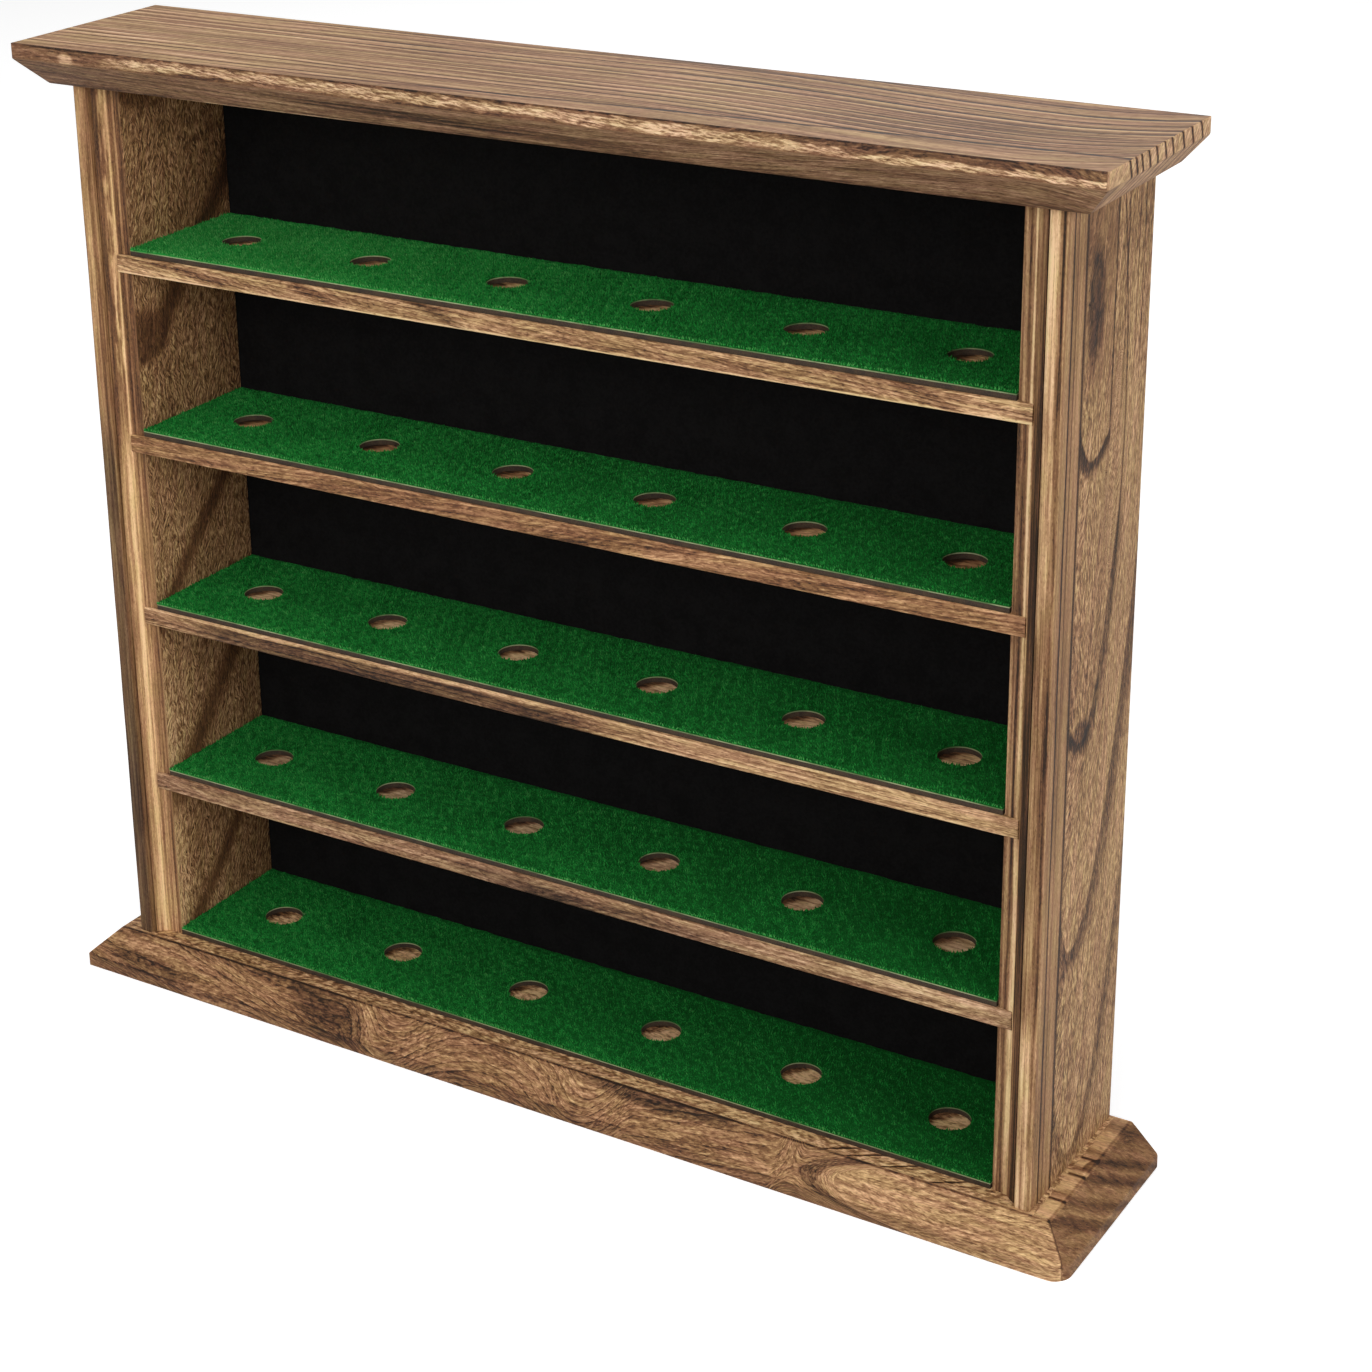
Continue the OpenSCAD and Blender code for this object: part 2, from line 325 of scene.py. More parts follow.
# A stack of rings, each closed on itself, with quads between neighbours
def stack(rings):
    count = rings.shape[1]
    row = np.arange(len(rings) - 1)[:, None] * count
    here = np.arange(count)[None, :]
    there = (here + 1) % count
    quads = np.stack([row + here, row + there, row + count + there, row + count + here], -1)
    return rings.reshape(-1, 3), quads.reshape(-1, 4)


def circle(centre, radius):
    angle = np.arange(circleSteps) * 2 * math.pi / circleSteps
    return centre + radius * np.column_stack([np.cos(angle), np.sin(angle)])


# Points of a plan at one height
def atHeight(plan, z):
    return np.column_stack([plan, np.full(len(plan), float(z))])


# A flat cap inside an outline with round holes left open: a constrained triangulation
def flatCap(outline, holes=()):
    loops = [outline, *holes]
    starts = np.cumsum([0] + [len(loop) for loop in loops]).tolist()
    rims = [list(range(start, end)) for start, end in zip(starts, starts[1:])]
    edges = [pair for rim in rims for pair in zip(rim, rim[1:] + rim[:1])]
    made = delaunay_2d_cdt([Vector(p) for p in np.concatenate(loops)], edges, rims, 1, 1e-7)
    faces = [face for face, owner in zip(made[2], made[5]) if not any(k > 0 for k in owner)]
    return np.array([tuple(v) for v in made[0]]), faces


# The flat end of a stack of rings. At each centre it is pierced by a hole, whose wall is a stack of
# circles that follow (radius, depth) pairs, inwards along Z
def piercedEnd(ring, centres=(), profile=(), inwards=1):
    z = ring[0, 2]
    plan, faces = flatCap(ring[:, :2], [circle(c, profile[0][0]) for c in centres])
    walls = [np.array([atHeight(circle(c, radius), z + inwards * depth) for radius, depth in profile])
             for c in centres]
    return [(atHeight(plan, z), faces)] + [stack(wall) for wall in walls]


def blindHole(radius, depth):
    return [(radius, 0), (radius, depth), (pointRadius, depth)]


# A mesh object from parts of (vertices in mm, faces), welded. Smooth shading is split where two faces
# meet at more than the given angle, and the triangles of flat caps stay flat
def meshObject(name, parts, splitAngle=boardSplit):
    starts = np.cumsum([0] + [len(points) for points, _ in parts]).tolist()
    verts = np.concatenate([points for points, _ in parts]) * mm
    faces = [[int(i) + start for i in poly] for start, (_, polys) in zip(starts, parts) for poly in polys]
    mesh = bpy.data.meshes.new(name)
    mesh.from_pydata(verts.tolist(), [], faces)
    build = bmesh.new()
    build.from_mesh(mesh)
    bmesh.ops.remove_doubles(build, verts=build.verts, dist=weldGap)
    bmesh.ops.dissolve_degenerate(build, edges=build.edges, dist=weldGap)
    bmesh.ops.recalc_face_normals(build, faces=build.faces)
    build.normal_update()
    limit = math.radians(splitAngle)
    for edge in build.edges:
        edge.smooth = len(edge.link_faces) == 2 and edge.calc_face_angle(0.0) < limit
    for face in build.faces:
        face.smooth = len(face.verts) > 3
    build.to_mesh(mesh)
    build.free()
    piece = newObject(name, mesh)
    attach(piece, "root")
    return piece


# How far an arris of a given radius is cut back at each height near the bottom and the top
def eased(heights, low, high, radius):
    near = np.clip(radius - np.stack([heights - low, high - heights]), 0, radius)
    return (radius - np.sqrt(radius ** 2 - near ** 2)).sum(0)


# Heights that crowd near both faces of a board and at its bevel's edge
def boardHeights(low, high, edge, radius):
    turn = radius * (1 - np.cos(np.linspace(0, math.pi / 2, 6)))
    levels = [low + turn, high - turn, edge + np.linspace(-0.5, 0.5, 5), np.linspace(low + 1, high - 1, 9)]
    return np.unique(np.round(np.concatenate(levels), 4))


baseSpec = {
    "band": 4.6, "bevelSide": 9.5, "bevelFront": 9.8, "radii": (6.8, 0.6, 0.6, 1.0), "ease": 0.45,
    "step": 2.0, "sway": 0.06, "swayWave": 45,
}
topSpec = {
    "band": 5.0, "bevelSide": 8.3, "bevelFront": 8.4, "radii": (2.0, 0.6, 0.6, 0.7), "ease": 0.4,
    "step": 1.2, "ragged": 0.32,
}
bevelTurn = 0.35    # softness of the line where a bevel starts, mm


# Plan rings of a bevelled board. Its sides draw in by nothing along the band, then by a straight run,
# with a soft turn between, and by the eased arrises. The drawn-in sides cut off the corner arcs, so the
# bevels meet in a sharp hip. The corners' radii go anticlockwise from the front right one
def boardRings(low, high, spec, upwards):
    edge = low[2] + spec["band"] if upwards else high[2] - spec["band"]
    heights = boardHeights(low[2], high[2], edge, spec["ease"])
    past = heights - edge if upwards else edge - heights
    share = (past + np.sqrt(past ** 2 + bevelTurn ** 2)) / 2 / (high[2] - low[2] - spec["band"])
    cut = eased(heights, low[2], high[2], spec["ease"])[:, None]
    front = share[:, None] * spec["bevelFront"] + cut
    side = share[:, None] * spec["bevelSide"] + cut
    quarter = np.linspace(0, math.pi / 2, 12)
    arcs = []
    for k, radius in enumerate(spec["radii"]):
        sx, sy = ((1, -1), (1, 1), (-1, 1), (-1, -1))[k]
        angle = (k - 1) * math.pi / 2 + quarter
        x = (high[0] if sx > 0 else low[0]) + radius * (np.cos(angle) - sx)
        y = (high[1] if sy > 0 else low[1]) + radius * (np.sin(angle) - sy)
        arcs.append(np.stack([np.clip(x, low[0] + side, high[0] - side),
                              np.clip(y, low[1] + front, high[1] - cut)], -1))
    loops = []
    for k, arc in enumerate(arcs):
        count = int((high - low)[(k + 1) % 2] / spec["step"])
        along = (np.arange(1, count) / count)[None, :, None]
        loops += [arc, arc[:, -1:] + (arcs[(k + 1) % 4][:, :1] - arc[:, -1:]) * along]
    plan = np.concatenate(loops, 1)
    z = np.broadcast_to(heights[:, None, None], (*plan.shape[:2], 1))
    return np.concatenate([plan, z], -1)


def makeBase(spec):
    low, high = baseLow, baseHigh
    rings = boardRings(low, high, spec, True)
    inwards = np.sign(rings[..., :2]) * (np.abs(rings[..., :2]) > 30)
    rings[..., :2] -= inwards * np.abs(ripple(rings, spec["swayWave"], 3)[..., None] * spec["sway"])
    head, shank, sink = (fixings[k] for k in ("screwHead", "screwShank", "screwSink"))
    hole = [(head, 0), (head, sink), (shank, sink + head - shank), (shank, high[2] - low[2])]
    under = piercedEnd(rings[0], fixings["places"], hole)
    over = piercedEnd(rings[-1], fixings["places"], [(shank, 0)])
    return meshObject("baseBoard", [stack(rings)] + under + over)


def makeTop(spec):
    low, high = topLow, topHigh
    edge = high[2] - spec["band"]
    rings = boardRings(low, high, spec, False)
    # The front band is torn along the grain: its face draws in by a ragged amount
    stretch = rings * [0.35, 1.0, 1.6]
    torn = np.clip(ripple(stretch, 2.6, 11, 14) * 0.5 + ripple(stretch, 9, 12) * 0.5, -0.4, 1.3) + 0.4
    onBand = (rings[..., 1] < low[1] + 2.5) & (np.abs(rings[..., 0]) < high[0] - 3)
    z = rings[..., 2]
    inBand = np.clip((z - edge + 0.6) / 1.2, 0, 1) * np.clip((high[2] - z) / 0.8, 0, 1)
    rings[..., 1] += np.where(onBand, spec["ragged"] * torn * inBand, 0)
    hole = blindHole(fixings["dowel"], fixings["dowelInTop"])
    under = piercedEnd(rings[0], fixings["places"], hole)
    return meshObject("topBoard", [stack(rings)] + under + piercedEnd(rings[-1]))


panelSpec = {
    "nose": 5.6, "proud": 4.8, "slope": 4.2, "noseRadius": 1.3, "quirk": 0.6, "quirkDepth": 1.2,
    "fall": 0.8, "rebate": 6.0, "housing": 5.0, "housingGap": 0.1,
    "step": 5.0, "sway": 0.08, "swayWave": 70,
}


# Plan of the right side panel, anticlockwise from the flat strip's inner end
def panelPlan(spec):
    inner, outer = panelLow[0], panelHigh[0]
    front, back = panelLow[1], panelHigh[1]
    strip = front + spec["proud"]
    noseX = outer - spec["nose"]
    slopeX = noseX - spec["slope"]
    quirkX = noseX - spec["quirk"]
    rebateX = inner + spec["rebate"]
    bottom = front + spec["noseRadius"]
    slopeEnd = bottom + spec["quirk"] * (strip - bottom) / spec["slope"]
    quirkY = bottom + spec["quirkDepth"]
    # place in plan, radius of the corner there
    corners = np.array([
        (inner, strip + spec["fall"], 0.5), (slopeX, strip, 0.5), (quirkX, slopeEnd, 0.12),
        (quirkX, quirkY, 0.12), (noseX, quirkY, 0.12), (noseX, front, spec["noseRadius"]),
        (outer, front, spec["noseRadius"]), (outer, back, 0.5), (rebateX, back, 0.3),
        (rebateX, backFront, 0.15), (inner, backFront, 0.3),
    ])
    return refine(roundCorners(corners[:, :2], corners[:, 2], 7), 3.0)


# The plan is carried upwards; between the faces of a housing it stops at the housing's floor
def makePanel(name, spec, side):
    plan = panelPlan(spec)
    housing = panelLow[0] + spec["housing"]
    gap = spec["housingGap"]
    faces = [z for low, high in shelfBoxes for z in (low[2] - gap, high[2] + gap)]
    edges = [panelLow[2], *faces, panelHigh[2]]
    levels, inside = [], []
    for k, (start, end) in enumerate(zip(edges, edges[1:])):
        count = max(3, int((end - start) / spec["step"]))
        levels += list(np.linspace(start, end, count))
        inside += [k % 2 == 1] * count
    levels = np.array(levels)
    rings = np.empty((len(levels), len(plan), 3))
    rings[..., :2] = plan
    rings[..., 2] = levels[:, None]
    rings[..., 0] = np.where(np.array(inside)[:, None], np.maximum(rings[..., 0], housing), rings[..., 0])
    sway = ripple(np.column_stack([levels, levels * 0]), spec["swayWave"], 21 + side) * spec["sway"]
    rings[..., 1] += np.where(rings[..., 1] < -18, np.abs(sway)[:, None], 0)
    places = [place for place in fixings["places"] if place[0] > 0]
    screw = blindHole(fixings["screwShank"], fixings["screwInPanel"])
    dowel = blindHole(fixings["dowel"], fixings["dowelInPanel"])
    ends = piercedEnd(rings[0], places, screw) + piercedEnd(rings[-1], places, dowel, -1)
    parts = [(points * [side, 1, 1], faces) for points, faces in [stack(rings)] + ends]
    return meshObject(name, parts)


shelfSpec = {"frontEase": 0.7, "backEase": 0.3, "step": 3.0, "sway": 0.07, "swayWave": 30}


# A shelf: a rectangle in Y and Z with eased arrises, carried along X
def makeShelf(number, spec):
    low, high = shelfBoxes[number - 1]
    corners = [(low[1], low[2]), (high[1], low[2]), (high[1], high[2]), (low[1], high[2])]
    radii = [spec["frontEase"], spec["backEase"], spec["backEase"], spec["frontEase"]]
    profile = refine(roundCorners(corners, radii, 7), 6.0)
    along = np.linspace(low[0], high[0], int((high[0] - low[0]) / spec["step"]))
    rings = np.empty((len(along), len(profile), 3))
    rings[..., 0] = along[:, None]
    rings[..., 1:] = profile
    atFront = np.clip((low[1] + 3 - rings[..., 1]) / 2, 0, 1)
    sway = ripple(rings * [1, 0.2, 3], spec["swayWave"], 40 + number) * spec["sway"]
    rings[..., 1] += np.abs(sway) * atFront
    parts = [stack(rings)]
    for ring in (rings[0], rings[-1]):
        cap, faces = flatCap(ring[:, 1:])
        parts.append((np.column_stack([np.full(len(cap), ring[0, 0]), cap]), faces))
    return meshObject("shelf%d" % number, parts)


# Round the seats: each square cell's outline is joined to its seat's circle by rings that blend
# from the circle to the outline, on the same angles
def seatCells(low, high, rings, around):
    borders = [low[0], *(seatPlaces[1:] - seatPitch / 2), high[0]]
    square = refine(np.array([(0, 0), (1, 0), (1, 1), (0, 1)]), 4.001 / around)
    blend = (np.linspace(0, 1, rings) ** 1.25)[:, None, None]
    cells = []
    for left, right, place in zip(borders, borders[1:], seatPlaces):
        outline = [left, low[1]] + square * [right - left, high[1] - low[1]]
        centre = np.array([place, low[1] + seatFromFront])
        rim = centre + unit(outline - centre) * seatRadius
        cells.append(rim + (outline - rim) * blend)
    return np.array(cells)


# A row of cells with a top whose height is a function of the plan, a flat underside, and walls down
# its outer borders and down into the seats. The top dips by rimDrop at the seats
def cellSheet(low, high, rings, around, topZ, rimDrop=0.0):
    cells = seatCells(low, high, rings, around)
    top = np.concatenate([cells, topZ(cells)[..., None]], -1)
    top[..., 2] -= (rimDrop * np.exp(-np.linspace(0, rings / 3, rings)))[:, None]
    under = np.concatenate([cells, np.full((*cells.shape[:3], 1), low[2])], -1)
    edgeOf = np.arange(around) // (around // 4)
    parts = []
    for k in range(seatCount):
        outside = (edgeOf % 2 == 0) | ((edgeOf == 1) & (k == seatCount - 1)) | ((edgeOf == 3) & (k == 0))
        border, quads = stack(np.stack([top[k, -1], under[k, -1]]))
        parts += [stack(top[k]), stack(under[k, [0, -1]]), stack(np.stack([top[k, 0], under[k, 0]])),
                  (border, quads[outside])]
    return parts


def makeBallBoard(number):
    low, high = boardBoxes[number - 1]
    parts = cellSheet(low, high, 4, 96, lambda plan: np.full(plan.shape[:-1], high[2]))
    return meshObject("ballBoard%d" % number, parts, sheetSplit)


feltSpec = {
    "skin": 0.75, "lump": 0.14, "rings": 24, "around": 144, "rimDrop": 0.25,
    "spacing": 0.7, "height": 1.0, "width": 0.3, "lean": 0.6, "sunk": 0.15,
    "rimReach": 0.9, "frontReach": 0.6, "backReach": 1.4,
}


# The felt: a lumpy sheet that dips at its rims, and a pile of short leaning spikes, each a
# closed three-sided point whose foot is sunk in the sheet; near a seat the spikes lean over its rim
def makeFelt(number, spec):
    low, high = feltBoxes[number - 1]

    def lumpy(plan):
        lumps = ripple(plan, 3.2, 60 + number) * 0.5 + ripple(plan, 11, 70 + number) * 0.6
        return low[2] + spec["skin"] + spec["lump"] * lumps

    parts = cellSheet(low, high, spec["rings"], spec["around"], lumpy, spec["rimDrop"])
    sheet = meshObject("feltSheet%d" % number, parts, sheetSplit)
    source = np.random.default_rng(500 + number)
    gap = spec["spacing"]
    xs, ys = np.arange(low[0] + 0.15, high[0] - 0.1, gap), np.arange(low[1] + 0.1, high[1] - 0.1, gap)
    foot = np.stack(np.meshgrid(xs, ys), -1).reshape(-1, 2)
    foot += source.uniform(-0.45, 0.45, foot.shape) * gap
    foot = np.clip(foot, low[:2] + 0.05, high[:2] - 0.05)
    nearest = np.abs(foot[:, :1] - seatPlaces).argmin(1)
    toSeat = np.column_stack([seatPlaces[nearest], np.full(len(foot), low[1] + seatFromFront)]) - foot
    away = np.hypot(toSeat[:, 0], toSeat[:, 1])
    keep = away > seatRadius + 0.1
    foot, toSeat, away = foot[keep], toSeat[keep], away[keep]
    count = len(foot)
    ground = lumpy(foot)
    nap = ripple(foot, 26, 80 + number)
    clump = ripple(foot, 3.4, 90 + number)
    nearRim = np.exp(-((away - seatRadius) / spec["rimReach"]) ** 2)
    nearFront = np.exp(-((foot[:, 1] - low[1]) / spec["frontReach"]) ** 2)
    nearBack = np.exp(-((high[1] - foot[:, 1]) / spec["backReach"]) ** 2)
    size = spec["height"] * source.uniform(0.55, 1.15, count)
    size *= (1 + 0.12 * nap + 0.2 * clump - 0.1 * nearRim) * (1 - 0.6 * nearBack)
    heading = -math.pi / 2 + nap * 0.8 + source.normal(0, 0.9, count)
    lean = spec["lean"] * source.uniform(0.2, 1.3, count)
    way = np.column_stack([np.cos(heading), np.sin(heading)]) * lean[:, None]
    way = way * (1 - nearRim[:, None]) + toSeat / away[:, None] * nearRim[:, None] * spec["lean"]
    way[:, 1] = np.where(nearFront > 0.3, -0.15, way[:, 1])
    tip = np.column_stack([foot + size[:, None] * way, ground + size * (0.8 - 0.25 * nearRim)])
    turn = source.uniform(0, 2 * math.pi, count)[:, None] + np.arange(3) * 2 * math.pi / 3
    width = spec["width"] * source.uniform(0.7, 1.2, count)[:, None]
    around = np.stack([foot[:, :1] + width * np.cos(turn), foot[:, 1:] + width * np.sin(turn),
                       np.broadcast_to(ground[:, None] - spec["sunk"], turn.shape)], -1)
    verts = np.concatenate([around, tip[:, None]], 1).reshape(-1, 3)
    first = np.arange(count)[:, None] * 4
    sides = np.concatenate([first + side for side in ([0, 1, 3], [1, 2, 3], [2, 0, 3], [2, 1, 0])])
    pile = bpy.data.meshes.new("feltPile%d" % number)
    pile.from_pydata((verts * mm).tolist(), [], sides.tolist())
    # The pile's tone varies at random and in clumps, with painted light along the front edge and painted
    # shade along the back edge
    tone = np.repeat(source.uniform(0, 1, count) + 0.35 * clump + 1.2 * nearFront - 1.2 * nearBack, 4)
    for name, values in (("tone", tone), ("rise", np.tile([0.0, 0.0, 0.0, 1.0], count))):
        pile.attributes.new(name, "FLOAT", "POINT").data.foreach_set("value", values)
    piece = newObject("feltPile%d" % number, pile)
    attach(piece, "root")
    return sheet, piece


base = makeBase(baseSpec)
top = makeTop(topSpec)
rightPanel = makePanel("rightSidePanel", panelSpec, 1)
leftPanel = makePanel("leftSidePanel", panelSpec, -1)
shelves = [makeShelf(i, shelfSpec) for i in range(1, 5)]
print("boards made")
ballBoards = [makeBallBoard(i) for i in range(1, 6)]
felts = [makeFelt(i, feltSpec) for i in range(1, 6)]
print("felt made")


# Torched wood

# A display colour from 0 to 255 as the shader's linear one
def srgb(*values):
    return (*(((v / 255 + 0.055) / 1.055) ** 2.4 for v in values), 1)


# 1 inside an ellipse, fading to 0 past its edge
def spot(u, v, centre, reach):
    du, dv = (u - centre[0]) / reach[0], (v - centre[1]) / reach[1]
    return (du * du + dv * dv).fall(0.25, 1.3)


# Noise in mm, drawn out along the grain
def drawn(along, across, deep, scaleAlong, scaleAcross, detail=2, roughness=0.55):
    point = {0: along * scaleAlong, 1: across * scaleAcross, 2: deep * scaleAcross}
    tree = along.tree
    return noise(tree, addNode(tree, "CombineXYZ", point).outputs[0], 1, detail, roughness)


woodSteps = [
    (0.00, srgb(240, 210, 166)), (0.22, srgb(212, 177, 134)), (0.45, srgb(168, 132, 96)),
    (0.68, srgb(124, 89, 61)), (0.88, srgb(82, 56, 39)), (1.00, srgb(48, 34, 25)),
]
woodInputs = {
    "along": 0, "across": 0, "deep": 0,   # mm; the grain runs along the first
    "rings": 0,      # a dark line at every whole number
    "depth": 0.5,    # how dark those lines are
    "waver": 0.12,   # how far they stray, in rings
    "lean": 0.3,     # slope of the flecks
    "fleck": 0.5, "fibre": 0.5, "broad": 0.5,
    "tone": 0,       # darker above 0
    "smoke": 0,      # greyer and darker
}
woodBump = {"strength": 0.4, "depth": 0.0005}
woodSmoke = (0.33, 0.37, 0.42, 1)
woodHues = (1.03, 0.97, 1.02, 1), (0.98, 1.01, 0.93, 1)


# Level of darkness = tone + late wood of each ring + flecks that lean both ways + fibres + pores
# + broad patches; the level picks the colour, the height and the gloss. The hue wanders from pinkish
# to yellowish along the grain
def makeWoodGroup():
    tree = bpy.data.node_groups.new("torchedWood", "ShaderNodeTree")
    for name, value in woodInputs.items():
        socket = tree.interface.new_socket(name, in_out="INPUT", socket_type="NodeSocketFloat")
        socket.default_value = value
    tree.interface.new_socket("tint", in_out="INPUT", socket_type="NodeSocketColor")
    for name, kind in (("Color", "Color"), ("Height", "Float"), ("Rough", "Float")):
        tree.interface.new_socket(name, in_out="OUTPUT", socket_type="NodeSocket" + kind)
    sockets = addNode(tree, "NodeGroupInput").outputs
    along, across, deep, ringCount, depth, stray, lean, flecks, fibres, patches, tone, smoke = (
        field(tree, sockets[name]) for name in woodInputs)

    def laid(*scales):
        return drawn(along, across, deep, *scales)

    waver = laid(0.035, 0.12) + laid(0.12, 0.7, 1) * 0.35 - 0.675
    rings = ringCount + waver * stray * 2
    ring = rings.use("FRACT")
    whole = rings.use("FLOOR")
    chance = fieldNode(tree, "TexWhiteNoise", {"W": whole}, {"noise_dimensions": "1D"}, "Value")
    late = ring.use("POWER", 4) * 0.6 + ring.rise(0.78, 0.94) * 0.3
    late = late * ring.fall(0.96, 0.998) * (chance * 0.5 + 0.6) - ring.fall(0.02, 0.3) * 0.14

    # Flecks: short strokes, turned one way or the other by turns as in a herringbone
    leanA = drawn(along + across * lean, across - along * lean, deep, 0.2, 1, 1.5)
    leanB = drawn(along - across * lean, across + along * lean, deep, 0.2, 1, 1.5)
    turn = laid(0.028, 0.16, 1).rise(0.46, 0.54)
    fleck = leanB.towards(leanA, turn).rise(0.33, 0.67) - 0.5
    fibre = laid(0.02, 0.9, 3, 0.65).rise(0.3, 0.7) - 0.5
    pore = drawn(along + across * lean * 0.5, across, deep, 0.6, 2.4, 1)
    pores = pore.rise(0.56, 0.7)
    broad = laid(0.012, 0.05) - 0.5

    level = late * depth + tone + 0.46 + fleck * flecks * 0.55 + fibre * fibres * 0.5
    level += broad * patches * 0.7 + (pores * 0.2 - pore.fall(0.3, 0.42) * 0.17) * (flecks * 1.3 + 0.45)
    ramp = addNode(tree, "ValToRGB", {"Fac": level})
    elements = ramp.color_ramp.elements
    while len(elements) < len(woodSteps):
        elements.new(0.5)
    for element, (place, color) in zip(elements, woodSteps):
        element.position, element.color = place, color
    smoke = (smoke * (broad + 1)).use("MINIMUM", 1)
    hue = mixColor(tree, laid(0.05, 0.3, 3, 0.65).rise(0.36, 0.64), *woodHues)
    color = mixColor(tree, smoke, ramp.outputs[0], woodSmoke, "MULTIPLY")
    color = mixColor(tree, 1, mixColor(tree, 1, color, hue, "MULTIPLY"), sockets["tint"], "MULTIPLY")
    rough = (level - smoke * 0.3).mapped(0, 1, 0.64, 0.5, "LINEAR")
    height = level * -0.55 - pores * 0.45
    addNode(tree, "NodeGroupOutput", {"Color": color, "Height": height, "Rough": rough})
    return tree


woodGroup = makeWoodGroup()


# A figure is a function of x, y and z in mm that gives the group's inputs for one board
def woodMaterial(name, figure, tint):
    mat, tree, coords = newMaterial(name)
    inputs = figure(*axesOf(tree, stretched(tree, coords, (1000, 1000, 1000))))
    inputs["tint"] = (*tint, 1)
    wood = addNode(tree, "Group", inputs, {"node_tree": woodGroup}).outputs
    finishSurface(tree, wood["Height"], woodBump["strength"], woodBump["depth"], {
        "Base Color": wood["Color"], "Roughness": wood["Rough"], "Specular IOR Level": 0.2})
    return mat


loopShape = {"tilt": 0.013, "steeperFront": 1.5, "roundness": 70, "ringGap": 7.4}


# Rings of a side panel: a mean height over the ring spacing, less a hyperbola that opens upwards
def loopRings(u, v, spacing, apex):
    tilt, steeper, roundness, gap = loopShape.values()
    du = u - (v * tilt + apex)
    du = du.use("MAXIMUM", du * -steeper) * (v.rise(85, 165) * 0.3 + 1)
    return v / spacing - ((du * du + roundness ** 2).use("SQRT") - roundness) / gap


# A U-shaped dark band under a parabola, softer downwards. How far a place is above the parabola is
# its height over it, divided by the length of the gradient there
def loopBand(u, v, lowest, opened, closed, width, darkness):
    du = u - lowest[0]
    steep = du.use("GREATER_THAN", 0) * (opened - closed) + closed
    climb = du * du * steep
    above = (v - climb - lowest[1]) / (climb * steep * 4 + 1).use("SQRT")
    return above.fall(-0.5, 0.6) * above.rise(-width, -0.25 * width) * darkness


# Places on a panel are in mm from its front and its foot; those on its front edge are in mm along X
rightGrain = {
    # lowest point, opening towards the back and the front, width, darkness
    "bands": [
        ((27, 5), 0.082, 0.2, 7, 0.17), ((22, 79), 0.075, 0.28, 9, 0.24),
        ((24, 147), 0.148, 0.12, 6, 0.26), ((24, 234), 0.041, 0.14, 5, 0.4),
    ],
    "loopSpacing": 77, "loopApex": 21,
    # place, reach, darkness
    "frontLines": [(5.5, 0.9, 0.55), (8.2, 0.7, 0.26), (14.5, 1.3, 0.5)],
    "edgeLines": [(162.6, 0.8, 0.26), (167.2, 0.3, -0.12), (169.1, 0.45, 0.5), (171.6, 0.35, 0.12),
                  (173.3, 0.35, 0.12)],
    "backLines": [34, 44, 52, 56],
    "tint": (1.02, 0.99, 0.93),
}


def rightFigure(x, y, z):
    u, v = y + 26, z - 14
    sway = drawn(v, u, x, 0.012, 0.03) - 0.5
    rough = drawn(v, u, x, 0.1, 0.3) - 0.5
    swayed = u + sway * 2.5 + rough * 0.8, v + sway * 7 + rough * 3
    loops = u.rise(13.6, 15.8)
    rings = loopRings(*swayed, rightGrain["loopSpacing"], rightGrain["loopApex"])
    first, second, third, fourth = (loopBand(*swayed, *band) for band in rightGrain["bands"])
    bands = first + second + third * v.fall(200, 222) + fourth * u.fall(35.8, 36.8)
    bands += u.hump(36, 1) * v.rise(236, 246) * 0.34 + spot(u, v, (24, 149), (7, 5)) * 0.24
    limb = (u + (v - 240) * (v - 240) * 0.0016 - 47.3).hump(0, 0.9) * v.rise(185, 208) * 0.36
    patch = spot(u, v, (22.5, 280), (6, 19))
    calm = u.between(15, 36, 1) * (v - (u - 24) * (u - 24) * 0.06).rise(243, 262)
    tone = (u + sway * 1.2).lines(rightGrain["frontLines"]) + u.fall(0, 14) * 0.03
    tone += (bands * 1.15 + limb + patch * 0.3 + calm * 0.1) * loops
    tone += v.hump(297, 12) * 0.06 + v.rise(200, 300) * 0.03
    tone += u.humps(rightGrain["backLines"], 0.9) * v.rise(235, 270) * 0.28 * (1 - calm)
    # The front edge
    front = y.fall(-20.4, -19.9) * x.fall(174.6, 175)
    high = z.rise(262, 276)
    strip = x.fall(163.4, 163.9) * (0.12 + z.between(205, 266, 3) * 0.12)
    # A painted highlight: a pale line near the arris where the flat strip meets the slope, weaker between
    # heights 80 and 200
    strip -= x.hump(164.2, 0.7) * (0.38 - z.between(80, 200, 6) * 0.2)
    strip -= x.hump(165, 0.7) * (z.fall(130, 145) - high) * 0.2
    slope = x.between(165.5, 168.9, 0.25) * (0.47 - high * 0.14)
    slope -= x.hump(166, 0.9) * (z.fall(70, 84) * 0.32 + high * 0.16)
    ends = z.fall(68, 82) + high
    inner = x.fall(170.2, 172)
    nose = z.between(78, 203, 6) * (inner * 0.08 + 0.14) - 0.1 - ends * (inner * 0.12 + 0.13)
    nose = nose * x.rise(169.3, 169.8) + x.rise(172.2, 173.4) * (high * 0.14 + 0.05)
    nose += x.hump(174.2, 1) * (high * 0.3 + 0.34)
    tone = tone.towards(strip + slope + nose + x.lines(rightGrain["edgeLines"]), front)
    return dict(
        along=v * 1.25, across=u * 1.25 - (rings * 10 + u * 0.25) * loops, deep=x, rings=rings * 5,
        depth=loops * (1 - front) * 0.12, waver=0.3, lean=0.22 + spot(u, v, (41, 228), (8, 30)) * 0.6,
        fleck=loops * (0.56 - calm * 0.34) + 0.16 - front * 0.08, fibre=0.45 + front * 0.45,
        tone=tone - 0.02, smoke=0.04 + (bands * 0.9 + patch * 0.15) * loops * (1 - front),
    )


